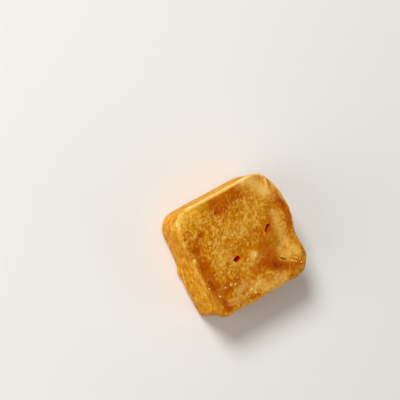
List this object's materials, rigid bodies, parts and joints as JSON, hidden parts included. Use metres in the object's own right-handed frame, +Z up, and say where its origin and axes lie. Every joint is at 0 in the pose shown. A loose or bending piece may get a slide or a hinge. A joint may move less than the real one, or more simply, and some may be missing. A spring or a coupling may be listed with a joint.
{
  "type": "pineapple cake",
  "caption": "Square block of filled golden shortcrust with rounded corners, a thin moulded rim round its browned top face, and two small pricks in the crust.",
  "frame": {"origin": "centre of the cake's box at the height of its flat base", "axes": "+Z up through the browned top face, -Y out of the front wall, +X to the right, where the rim hangs over the wall"},
  "size_m": [0.0492, 0.0528, 0.021],
  "materials": {
    "crust": "baked shortcrust: golden walls, top and base browned in patches, matte with a faint sheen of butter"
  },
  "bodies": {
    "root": {"pineapple_cake": "crust"}
  },
  "joints": []
}
